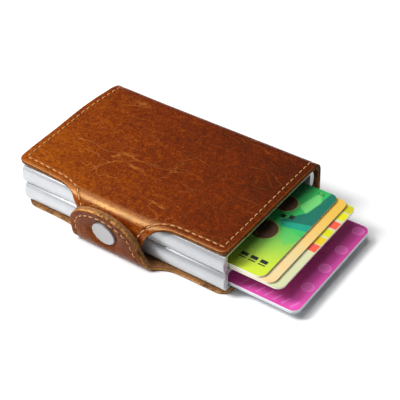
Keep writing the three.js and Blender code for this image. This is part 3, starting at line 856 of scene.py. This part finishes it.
def leather_material(name, tones, crease_colour, shift_from, shift_to, gloss, gloss_colour, wax):
    """Pull-up leather: mottled between its three tones (light, middle, dark), paler along creases and
    on worn rims. The tone goes from the light tone at shift_from to the dark tone at shift_to, two
    places in its UV map: partly painted light, lighter where the light falls, and partly the
    leather's own uneven tone."""
    light, middle, dark = tones
    material, tree, shader = new_material(
        name, Specular_IOR_Level=gloss, Specular_Tint=gloss_colour, Coat_Weight=wax, Coat_Roughness=0.32
    )
    uv = node(tree, "UVMap", uv_map="flat_sheet").outputs[0]
    # A value that is 0 at shift_from and 1 at shift_to, added to the tone: partly painted light, partly the
    # leather's own uneven tone.
    split = node(tree, "SeparateXYZ", {0: uv})
    axis = (shift_to[0] - shift_from[0], shift_to[1] - shift_from[1])
    size = axis[0] ** 2 + axis[1] ** 2
    parts = []
    for i in range(2):
        slope = axis[i] / size
        parts.append(maths(tree, "MULTIPLY_ADD", split.outputs[i], slope, -shift_from[i] * slope))
    light_and_tone_drift = maths(tree, "ADD", *parts)

    patches = noise_of(tree, uv, 3.1, 4, 0.6, 0.4)
    clouds = noise_of(tree, uv, 13, 5, 0.65, 0.2)
    fibres = noise_of(tree, uv, 46, 4, 0.7, 0.6)
    pores = noise_of(tree, uv, 120, 3, 0.7)
    tone = light_and_tone_drift
    for layer, amount in ((patches, 0.5), (clouds, 0.6), (fibres, 1.15), (pores, 1.6)):
        tone = maths(tree, "ADD", tone, maths(tree, "MULTIPLY_ADD", layer, amount, -amount / 2))
    ramp = node(tree, "ValToRGB", {0: tone})
    stops = ramp.color_ramp.elements
    stops[0].color, stops[0].position = light, 0.0
    stops[1].color, stops[1].position = dark, 1.0
    stop = stops.new(0.5)
    stop.color = middle

    creases = None
    for turn, size, seed in CREASES:
        moved = {"Vector": uv, "Rotation": (0, 0, turn), "Location": (seed, 0, 0)}
        stretched = node(tree, "Mapping", {**moved, "Scale": (size, size * CREASE_STRETCH, 1.0)})
        folded = noise_of(tree, stretched.outputs[0], 1.0, 3, 0.45, 0.5)
        away = maths(tree, "ABSOLUTE", maths(tree, "SUBTRACT", folded, 0.5))
        line = remap(tree, away, 0.0, CREASE_WIDTH, 1.0, 0.0)
        shifted = node(tree, "Mapping", {"Vector": uv, "Location": (0, seed, 0)})
        shown = noise_of(tree, shifted.outputs[0], 4.5, 2, 0.5)
        line = maths(tree, "MULTIPLY", line, remap(tree, shown, 0.48, 0.62))
        creases = line if creases is None else maths(tree, "MAXIMUM", creases, line)
    pale = maths(tree, "MULTIPLY", creases, remap(tree, light_and_tone_drift, 0.0, 0.9, 0.5, 0.22))
    colour = mixed(tree, pale, ramp.outputs[0], crease_colour)

    rim = node(tree, "Attribute", attribute_name="rim").outputs["Fac"]
    worn = remap(tree, maths(tree, "MULTIPLY_ADD", fibres, 1.1, rim), 0.55, 1.35, 0.75, 0.0)
    colour = mixed(tree, worn, colour, light)
    link(tree, colour, shader, "Base Color")

    rough = remap(tree, clouds, 0.3, 0.7, 0.24, 0.37)
    link(tree, rough, shader, "Roughness")
    grain = node(tree, "TexVoronoi", {"Vector": uv, "Scale": 150.0, "Randomness": 1.0}, feature="SMOOTH_F1")
    surface = maths(tree, "MULTIPLY_ADD", grain.outputs[0], 0.6, maths(tree, "MULTIPLY", pores, 0.5))
    normal = bump(tree, surface, 0.3, 0.0001)
    normal = bump(tree, fibres, 0.2, 0.00025, normal)
    folds = maths(tree, "SUBTRACT", clouds, maths(tree, "MULTIPLY", creases, 0.3))
    normal = bump(tree, folds, 0.3, 0.0006, normal)
    link(tree, normal, shader, "Normal")
    return material


def raw_edge_material(name, pale, deep):
    """The cut edge and flesh side of leather: short matted fibres, in layers along the edge."""
    material, tree, shader = new_material(name, Roughness=0.85, Specular_IOR_Level=0.2)
    where = object_place(tree)
    coarse = noise_of(tree, where, 1100, 4, 0.8, 0.5)
    fine = noise_of(tree, where, 2600, 3, 0.7)
    mottle = noise_of(tree, where, 160, 3, 0.6)
    tone = maths(tree, "ADD", maths(tree, "MULTIPLY", coarse, 0.55), maths(tree, "MULTIPLY", fine, 0.25))
    tone = maths(tree, "ADD", tone, maths(tree, "MULTIPLY", mottle, 0.3))
    colour = mixed(tree, remap(tree, tone, 0.46, 0.62), deep, pale)
    link(tree, colour, shader, "Base Color")
    link(tree, bump(tree, tone, 0.5, 0.0004), shader, "Normal")
    return material


def thread_material():
    material, tree, shader = new_material("waxed_thread", Roughness=0.6)
    where = object_place(tree)
    twist = {"Vector": where, "Scale": 900.0, "Distortion": 2.0}
    plies = node(tree, "TexWave", twist, bands_direction="DIAGONAL")
    fuzz = noise_of(tree, where, 700, 3, 0.7)
    colour = mixed(tree, fuzz, rgb(166, 102, 48), rgb(218, 172, 112))
    link(tree, colour, shader, "Base Color")
    link(tree, bump(tree, plies.outputs["Fac"], 0.4, 0.0001), shader, "Normal")
    return material


def hole_material():
    material, tree, shader = new_material("needle_hole_shade", Roughness=0.9)
    where = object_place(tree)
    # The dish is painted dark: painted shade of the needle hole's recess, with no hole in the mesh.
    colour = mixed(tree, noise_of(tree, where, 1500), rgb(28, 12, 4), rgb(60, 26, 10))
    link(tree, colour, shader, "Base Color")
    return material


# ---------------------------------------------------------------- hard materials


def metal_material(name, colour, roughness, grain_scale, grain_strength, grain_axis=(1, 1, 1), metallic=1.0):
    """Brushed or bead-blasted metal with a fine directional grain and faint handling marks."""
    material, tree, shader = new_material(name, Metallic=metallic, Roughness=roughness)
    where = object_place(tree)
    stretched = node(tree, "Mapping", {"Vector": where, "Scale": grain_axis}).outputs[0]
    grain = noise_of(tree, stretched, grain_scale, 4, 0.6)
    marks = noise_of(tree, where, 60, 3, 0.6)
    shade = remap(tree, marks, 0.3, 0.7, 0.93, 1.0)
    grey = node(tree, "CombineXYZ", {0: shade, 1: shade, 2: shade}).outputs[0]
    link(tree, mixed(tree, 1.0, colour, grey, "MULTIPLY"), shader, "Base Color")
    link(tree, remap(tree, grain, 0.25, 0.75, roughness - 0.06, roughness + 0.08), shader, "Roughness")
    link(tree, bump(tree, grain, grain_strength, 0.00005), shader, "Normal")
    return material


def plastic_material(name, colour, roughness):
    """Moulded plastic with a fine spark-eroded texture."""
    material, tree, shader = new_material(name, Roughness=roughness)
    where = object_place(tree)
    texture = noise_of(tree, where, 2600, 3, 0.6)
    haze = noise_of(tree, where, 90, 2, 0.5)
    lighter = tuple(min(1, c * 1.6 + 0.004) for c in colour[:3]) + (1.0,)
    link(tree, mixed(tree, haze, colour, lighter), shader, "Base Color")
    link(tree, remap(tree, haze, 0.3, 0.7, roughness - 0.07, roughness + 0.07), shader, "Roughness")
    link(tree, bump(tree, texture, 0.25, 0.00006), shader, "Normal")
    return material


def felt_material(name, colour, paler):
    """Pressed fibre for the friction strips and the adhesive pads."""
    material, tree, shader = new_material(name, Roughness=0.95)
    where = object_place(tree)
    fibres = noise_of(tree, where, 1800, 5, 0.75, 1.2)
    link(tree, mixed(tree, remap(tree, fibres, 0.35, 0.65), colour, paler), shader, "Base Color")
    link(tree, bump(tree, fibres, 0.6, 0.0002), shader, "Normal")
    return material


# ---------------------------------------------------------------- the cards' printed faces


class Print:
    """Flat areas of colour laid over each other on a card, in millimetres of the wallet's X and Y."""

    def __init__(self, name, edge, top_z):
        self.material, self.tree, self.shader = new_material(
            name, Coat_Weight=0.08, Coat_Roughness=0.2, Specular_IOR_Level=0.3
        )
        self.where = object_place(self.tree)
        split = node(self.tree, "SeparateXYZ", {0: self.where})
        self.x, self.y, self.z = (maths(self.tree, "DIVIDE", split.outputs[i], MM) for i in range(3))
        self.edge = edge
        self.top_z = top_z
        self.colour = edge

    def slope(self, start, end, soft=0.12):
        """1 on the left of the line from start to end."""
        dx, dy = end[0] - start[0], end[1] - start[1]
        size = math.hypot(dx, dy)
        side = maths(self.tree, "MULTIPLY_ADD", self.y, dx / size, (start[0] * dy - start[1] * dx) / size)
        side = maths(self.tree, "MULTIPLY_ADD", self.x, -dy / size, side)
        return remap(self.tree, side, -soft, soft)

    def both(self, *masks):
        result = masks[0]
        for mask in masks[1:]:
            result = maths(self.tree, "MULTIPLY", result, mask)
        return result

    def area(self, corners, soft=0.12):
        """1 inside a convex outline whose corners go anticlockwise."""
        return self.both(*(self.slope(a, b, soft) for a, b in zip(corners, corners[1:] + corners[:1])))

    def bar(self, centre, half_x, half_y):
        x, y = centre
        low_x, high_x, low_y, high_y = x - half_x, x + half_x, y - half_y, y + half_y
        return self.area([(low_x, low_y), (high_x, low_y), (high_x, high_y), (low_x, high_y)])

    def disc(self, centre, radius, soft=0.15):
        squares = []
        for place, middle in zip((self.x, self.y), centre):
            away = maths(self.tree, "SUBTRACT", place, middle)
            squares.append(maths(self.tree, "MULTIPLY", away, away))
        distance = maths(self.tree, "SQRT", maths(self.tree, "ADD", *squares))
        return remap(self.tree, distance, radius + soft, radius - soft)

    def lay(self, mask, colour, strength=1.0):
        if strength < 1:
            mask = maths(self.tree, "MULTIPLY", mask, strength)
        self.colour = mixed(self.tree, mask, self.colour, colour)

    def finished(self):
        """Adds the white core at the card's edge, print grain and a laminate's faint waviness."""
        tree = self.tree
        grain = noise_of(tree, self.where, 2200, 2, 0.6)
        worn = noise_of(tree, self.where, 120, 4, 0.6)
        dots = remap(tree, grain, 0.3, 0.7, 0.0, 0.03)
        self.colour = mixed(tree, dots, self.colour, rgb(255, 255, 255))
        face = remap(tree, self.z, self.top_z - 0.16, self.top_z - 0.06)
        self.colour = mixed(tree, face, self.edge, self.colour)
        link(tree, self.colour, self.shader, "Base Color")
        link(tree, remap(tree, worn, 0.3, 0.7, 0.25, 0.42), self.shader, "Roughness")
        link(tree, bump(tree, worn, 0.05, 0.0002), self.shader, "Normal")
        return self.material


def card_top(name):
    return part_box(name)[1][2] / MM


def card_front(name):
    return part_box(name)[1][0] / MM


def green_print():
    card = Print("green_card_print", rgb(240, 240, 236), card_top("upper_card_green"))
    sweep = remap(card.tree, maths(card.tree, "MULTIPLY_ADD", card.x, -0.5, card.y), -58, -24)
    card.colour = mixed(card.tree, sweep, rgb(196, 214, 40), rgb(62, 172, 80))
    card.lay(card.slope((52, 1.5), (66, -2), 0.4), rgb(40, 170, 82))
    card.lay(card.area([(53, 0.6), (59, -8.5), (63.5, -3.0), (63.5, 2.6)], 0.25), rgb(60, 186, 92), 0.45)
    card.lay(card.area([(52.5, 0.5), (63.5, 3.0), (63.5, 7.0), (51, 3.0)], 0.15), rgb(0, 148, 120))
    teal = rgb(0, 104, 86)
    card.lay(card.area([(50.4, 2.8), (63.5, 7.0), (63.5, 14.5), (57.8, 13.2)], 0.15), teal)
    card.lay(card.area([(57.4, 12.9), (63.5, 12.9), (63.5, 28), (59.2, 28)], 0.15), teal)
    card.lay(card.area([(56.8, 11.5), (58.6, 20), (55.4, 26), (52.5, 14)], 0.5), rgb(128, 214, 118), 0.6)
    # A dark wash on the side towards the case's mouth: painted shadow of the top panel over the card, not
    # part of the print.
    card.lay(card.slope((47, 10.5), (53, 30), 1.6), rgb(10, 60, 52), 0.45)
    for centre, radius in (((48.6, -4.4), 5.3), ((47.4, 12.6), 4.6)):
        card.lay(card.disc(centre, radius + 0.35), rgb(150, 158, 70), 0.8)
        card.lay(card.disc(centre, radius), rgb(86, 58, 34))
        card.lay(card.disc((centre[0] - 1.2, centre[1] + 1.4), radius * 0.6, 1.8), rgb(38, 20, 14), 0.8)
    ink = rgb(16, 26, 14)
    for x in (58.4, 54.2, 50.0):
        card.lay(card.bar((x, -19.6), 1.5, 0.9), ink)
        card.lay(card.bar((x, -21.4), 1.5, 0.3), ink)
    for x, y in ((53.6, 6.8), (50.4, 5.8)):
        card.lay(card.bar((x, y), 1.0, 1.1), ink)
    for x in (54.9, 55.9, 56.9):
        card.lay(card.bar((x, 24.4), 0.22, 0.8), ink, 0.8)
    return card.finished()


def orange_print():
    card = Print("orange_card_print", rgb(244, 232, 214), card_top("upper_card_orange"))
    sweep = remap(card.tree, card.y, -26, 24)
    card.colour = mixed(card.tree, sweep, rgb(216, 200, 150), rgb(222, 178, 66))
    blush = noise_of(card.tree, card.where, 70, 3, 0.6)
    card.lay(remap(card.tree, blush, 0.5, 0.7), rgb(255, 178, 96), 0.5)
    return card.finished()


def cream_print():
    name = "upper_card_cream"
    card = Print("cream_card_print", rgb(232, 228, 210), card_top(name))
    front = card_front(name)
    card.colour = rgb(200, 203, 160)
    swatches = [
        (-1.6, rgb(226, 84, 62)),
        (3.0, rgb(222, 186, 6)),
        (8.2, rgb(206, 206, 8)),
        (13.4, rgb(226, 86, 64)),
        (19.2, rgb(214, 210, 8)),
        (24.2, rgb(196, 184, 12)),
    ]
    for y, colour in swatches:
        card.lay(card.bar((front - 3.6, y), 3.4, 2.1), colour)
    return card.finished()


def pink_print():
    name = "lower_card_pink"
    card = Print("pink_card_print", rgb(238, 238, 242), card_top(name))
    front = card_front(name)
    sweep = remap(card.tree, card.y, -27, 27)
    card.colour = mixed(card.tree, sweep, rgb(216, 72, 168), rgb(196, 58, 146))
    pale = rgb(232, 120, 196)
    for y in (23.2, 10.4, -1.6, -13.6):
        x = front - 3.4
        card.lay(card.disc((x, y), 2.5), pale, 0.75)
        card.lay(card.disc((x, y), 1.9), rgb(208, 64, 158), 0.7)
        for dy in (-1.2, 0.0, 1.2):
            card.lay(card.bar((x, y + dy), 1.7, 0.25), pale, 0.8)
    for i in range(7):
        x = 51.5 + i * 3.6
        slanted = [(x, -25.8), (x + 0.7, -25.8), (x + 2.2, -22.0), (x + 1.5, -22.0)]
        card.lay(card.area(slanted, 0.1), pale, 0.85)
    return card.finished()


def grey_print():
    card = Print("grey_card_print", rgb(216, 222, 230), card_top("lower_card_grey"))
    card.colour = rgb(205, 211, 220)
    card.lay(remap(card.tree, noise_of(card.tree, card.where, 40, 2), 0.4, 0.6), rgb(190, 198, 210), 0.5)
    return card.finished()


# ---------------------------------------------------------------- the materials of this wallet

cover_leather = leather_material(
    "cover_leather",
    tones=(rgb(148, 72, 0), rgb(106, 34, 0), rgb(62, 14, 0)),
    crease_colour=rgb(196, 122, 52),
    # The cover's tone runs from light at its front left to dark at its back right: partly painted light,
    # partly the leather's own tone.
    shift_from=(-0.75, (S_TOP_FRONT + 12) / UV_MM),
    shift_to=(0.5, (S_TOP_BACK - 25) / UV_MM),
    gloss=0.5,
    gloss_colour=(1.0, 0.56, 0.08, 1.0),
    wax=0.22,
)
strap_leather = leather_material(
    "strap_leather",
    tones=(rgb(140, 76, 30), rgb(103, 46, 12), rgb(76, 28, 6)),
    crease_colour=rgb(156, 100, 60),
    shift_from=(-0.2, -0.2),
    shift_to=(0.2, 0.5),
    gloss=0.06,
    gloss_colour=(1.0, 0.58, 0.3, 1.0),
    wax=0.0,
)
raw_edge = raw_edge_material("raw_leather_edge", rgb(204, 146, 80), rgb(66, 32, 10))
# The top panel's cut edge, darker than the raw edge: painted shade for the shadow under the panel's edge.
shade_darkened_edge = raw_edge_material("shade_darkened_leather_edge", rgb(124, 70, 28), rgb(44, 18, 6))
flesh_side = raw_edge_material("leather_flesh_side", rgb(150, 104, 62), rgb(96, 60, 32))
waxed_thread = thread_material()
needle_hole_shade = hole_material()
case_aluminium = metal_material(
    "satin_aluminium", (0.56, 0.575, 0.595, 1.0), 0.36, 900.0, 0.12, (0.05, 1.0, 1.0), 0.55
)
snap_steel = metal_material("brushed_steel", (0.42, 0.42, 0.43, 1.0), 0.4, 1500.0, 0.2, (1.0, 0.08, 1.0), 0.6)
plain_steel = metal_material("plain_steel", (0.62, 0.62, 0.63, 1.0), 0.28, 1200.0, 0.1)
magnet_metal = metal_material("nickel_plated_magnet", (0.55, 0.55, 0.54, 1.0), 0.22, 800.0, 0.08)
black_plastic = plastic_material("black_plastic", rgb(24, 24, 26), 0.48)
felt = felt_material("friction_felt", rgb(30, 30, 34), rgb(62, 62, 68))
adhesive = felt_material("adhesive_pad", rgb(36, 30, 26), rgb(66, 56, 48))

# ---------------------------------------------------------------- the leather cover

bottom_outline = bottom_panel_outline()
top_outline = top_panel_outline()
band_outline = strap_outline()
keeper_hole = circle(CLOSURE_X, S_KEEPER, KEEPER_HOLE)
cup_hole = circle(CLOSURE_X, S_SNAP, CUP_HOLE)

TOP_BENDS = [(S_TOP_BACK - SPINE_RADIUS * 1.7, S_TOP_BACK + 1), (S_TOP_FRONT - 2, S_TOP_FRONT + 9)]
BOTTOM_BENDS = [(corner_y - COVER_FRONT - 1, corner_y - COVER_FRONT + SPINE_RADIUS * 1.7)]
STRAP_BENDS = [(S_PANEL_FRONT, S_PANEL_FRONT + 11)]

bottom_fold = {"start": (0, corner_y * MM, 0), "end": (0, SPINE_OUTER * MM, SPINE_RADIUS * MM)}
top_fold = {
    "start": (0, SPINE_OUTER * MM, (TOP_Z - SPINE_RADIUS) * MM),
    "end": (0, corner_y * MM, TOP_Z * MM),
}
strap_bend = {"start": (0, -32.4 * MM, 0.0002), "end": (0, -36.3 * MM, 3.6 * MM)}


def cover_sheet(
    name, section, outlines, top, bottom, relief, looks, nodes, slot_name, bodies, fold, **options
):
    """A sheet that stands for CAD nodes, which it hides; its placement is baked into its mesh."""
    piece = sheet(name, section, outlines, top, bottom, relief, looks, **options)
    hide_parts(*nodes)
    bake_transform(piece)
    return piece


cover_sheet(
    "bottom_panel_leather", cover_section, [bottom_outline], 0, LEATHER, flat_relief,
    (cover_leather, raw_edge), ("bottom_leather", "spine_leather"), "leather",
    ("root", "spine"), bottom_fold, stitched=True, bends=BOTTOM_BENDS,
)
cover_sheet(
    "bottom_panel_lining", cover_section, [bottom_outline], LINING_START, LINING_END, flat_relief,
    (raw_edge, flesh_side), ("bottom_lining", "spine_lining"), "lining",
    ("root", "spine"), bottom_fold, bends=BOTTOM_BENDS,
)
cover_sheet(
    "top_panel_leather", cover_section, [top_outline, keeper_hole], 0, LEATHER, top_relief,
    (cover_leather, shade_darkened_edge), ("top_leather",), "leather",
    ("spine", "cover"), top_fold, stitched=True, bends=TOP_BENDS,
)
cover_sheet(
    "top_panel_lining", cover_section, [top_outline], LINING_START, LINING_END, top_relief,
    (shade_darkened_edge, flesh_side), ("top_lining",), "lining",
    ("spine", "cover"), top_fold, bends=TOP_BENDS,
)
cover_sheet(
    "strap_band_leather", strap_section, [band_outline], 0, LEATHER, strap_relief,
    (strap_leather, raw_edge), ("strap_leather",), "leather",
    ("root", "strap"), strap_bend, stitched=True, bends=STRAP_BENDS,
)
cover_sheet(
    "strap_band_lining", strap_section, [band_outline, cup_hole], LINING_START, LINING_END, strap_relief,
    (raw_edge, flesh_side), ("strap_lining",), "lining",
    ("root", "strap"), strap_bend, bends=STRAP_BENDS, under=flat_relief,
)

top_thread = stitches(
    "top_panel_stitches", cover_section, top_outline, top_relief,
    lambda x, s: S_TOP_BACK - 1 < s < S_TAB_END - 4,
)
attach(top_thread, "cover")
bottom_thread = stitches(
    "bottom_panel_stitches", cover_section, bottom_outline, flat_relief,
    lambda x, s: s < corner_y - COVER_FRONT,
)
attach(bottom_thread, "root")
strap_thread = stitches(
    "strap_stitches", strap_section, band_outline, strap_relief,
    lambda x, s: s > S_PANEL_FRONT + 9,
)
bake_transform(strap_thread)

# ---------------------------------------------------------------- cases, snap and pins

for side, floor in CASE_FLOORS.items():
    shell = case_shell(f"{side}_case_shell", floor, case_aluminium)
    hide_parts(f"{side}_case")
    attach(shell, "root" if side == "lower" else "cover")

snap_up = (CLOSURE_Z - STRAP_AXIS[2]) / math.cos(LEAN)
snap_frame = (
    Matrix.Translation(STRAP_AXIS)
    @ Matrix.Rotation(LEAN, 4, "X")
    @ Matrix.Translation((CLOSURE_X, 0, snap_up))
    @ Matrix.Rotation(math.radians(90), 4, "X")
)
SNAP_PROFILE = [
    (0.01, 1.72),
    (3.9, 1.74),
    (4.35, 1.80),
    (4.6, 1.90),
    (4.85, 1.93),
    (5.05, 1.88),
    (5.2, 1.74),
    (5.25, 1.5),
    (5.25, 1.0),
    (0.9, 1.0),
    (0.9, -0.05),
    (0.01, -0.05),
]
snap = turned("snap_cap_face", SNAP_PROFILE, snap_steel, snap_frame)
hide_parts("snap_cap")
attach(snap, "strap")

# ---------------------------------------------------------------- CAD nodes that stay


def softened(name, look, width, angle=35):
    """A CAD node with its own material, softly rounded edges and smooth curved faces."""
    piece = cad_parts[name]
    piece.data.materials.clear()
    piece.data.materials.append(look)
    if width:
        bevel = piece.modifiers.new("soft_edges", "BEVEL")
        bevel.width = width * MM
        bevel.segments = 2
        bevel.limit_method = "ANGLE"
        bevel.angle_limit = math.radians(angle)
    smooth_by_angle(piece, angle)


CASE_PARTS = (
    ("end_cap", black_plastic, 0.12),
    ("front_strip", felt, 0.1),
    ("back_strip", felt, 0.1),
    ("lever", black_plastic, 0.1),
    ("pivot_pin", plain_steel, 0.1),
    ("bond_pad", adhesive, 0),
)
for side in CASE_FLOORS:
    for part, look, width in CASE_PARTS:
        softened(f"{side}_{part}", look, width)
softened("keeper_rivet", plain_steel, 0.05)
softened("keeper_washer", plain_steel, 0.04)
softened("magnet_cup", plain_steel, 0.05)
softened("closure_magnet", magnet_metal, 0.1)
CARD_PRINTS = {
    "upper_card_green": green_print(),
    "upper_card_orange": orange_print(),
    "upper_card_cream": cream_print(),
    "lower_card_pink": pink_print(),
    "lower_card_grey": grey_print(),
}
for name, look in CARD_PRINTS.items():
    softened(name, look, 0.07, 50)

# ---------------------------------------------------------------- camera, floor and light

CAMERA_PLACE = Vector((0.22067, -0.27087, 0.2926))
CAMERA_TURN = 0.647621
CAMERA_DIP = 0.694291
CAMERA_ROLL = -0.040581
CAMERA_LENS = 101.885
FLOOR_REACH = 3.0
FLOOR_DROP = 0.0004
WORLD_STRENGTH = 0.12


def make_camera():
    """Looks down on the wallet from its front right. Turn, dip and roll are in radians."""
    forward = Vector(
        (
            -math.sin(CAMERA_TURN) * math.cos(CAMERA_DIP),
            math.cos(CAMERA_TURN) * math.cos(CAMERA_DIP),
            -math.sin(CAMERA_DIP),
        )
    )
    level = forward.cross(Vector((0, 0, 1))).normalized()
    raised = level.cross(forward)
    right = level * math.cos(CAMERA_ROLL) + raised * math.sin(CAMERA_ROLL)
    up = raised * math.cos(CAMERA_ROLL) - level * math.sin(CAMERA_ROLL)
    camera = bpy.data.objects.new("camera", bpy.data.cameras.new("camera"))
    axes = Matrix((right, up, -forward)).transposed().to_4x4()
    camera.matrix_world = Matrix.Translation(CAMERA_PLACE) @ axes
    camera.data.sensor_width = 36
    camera.data.lens = CAMERA_LENS
    camera.data.clip_start = 0.01
    bpy.context.collection.objects.link(camera)
    bpy.context.scene.camera = camera


def make_floor():
    mesh = bpy.data.meshes.new("floor")
    corners = [(x * FLOOR_REACH, y * FLOOR_REACH, 0) for x, y in ((-1, -1), (1, -1), (1, 1), (-1, 1))]
    mesh.from_pydata(corners, [], [(0, 1, 2, 3)])
    floor = bpy.data.objects.new("floor", mesh)
    floor.location.z = -FLOOR_DROP
    material, tree, shader = new_material("pale_floor", Roughness=0.6, Specular_IOR_Level=0.1)
    where = object_place(tree)
    tint = mixed(tree, noise_of(tree, where, 3.0, 2), (0.93, 0.93, 0.93, 1), (0.95, 0.95, 0.95, 1))
    link(tree, tint, shader, "Base Color")
    mesh.materials.append(material)
    bpy.context.collection.objects.link(floor)


def soft_light(name, place, target, size, power):
    data = bpy.data.lights.new(name, "AREA")
    data.shape = "RECTANGLE"
    data.size, data.size_y = size
    data.energy = power
    lamp = bpy.data.objects.new(name, data)
    lamp.location = place
    lamp.rotation_euler = (Vector(target) - Vector(place)).to_track_quat("-Z", "Y").to_euler()
    bpy.context.collection.objects.link(lamp)


make_camera()
make_floor()
soft_light("overhead", (-0.3, -0.12, 1.05), (0, 0, 0), (0.9, 0.8), 9.0)
soft_light("front_left", (-0.44, -0.39, 0.65), (0, -0.03, 0.02), (0.22, 0.42), 7.4)
world = bpy.data.worlds.new("studio")
world.use_nodes = True
background = world.node_tree.nodes["Background"]
background.inputs["Color"].default_value = (1.0, 1.0, 1.0, 1.0)
background.inputs["Strength"].default_value = WORLD_STRENGTH
bpy.context.scene.world = world
bpy.context.scene.view_settings.view_transform = "Standard"
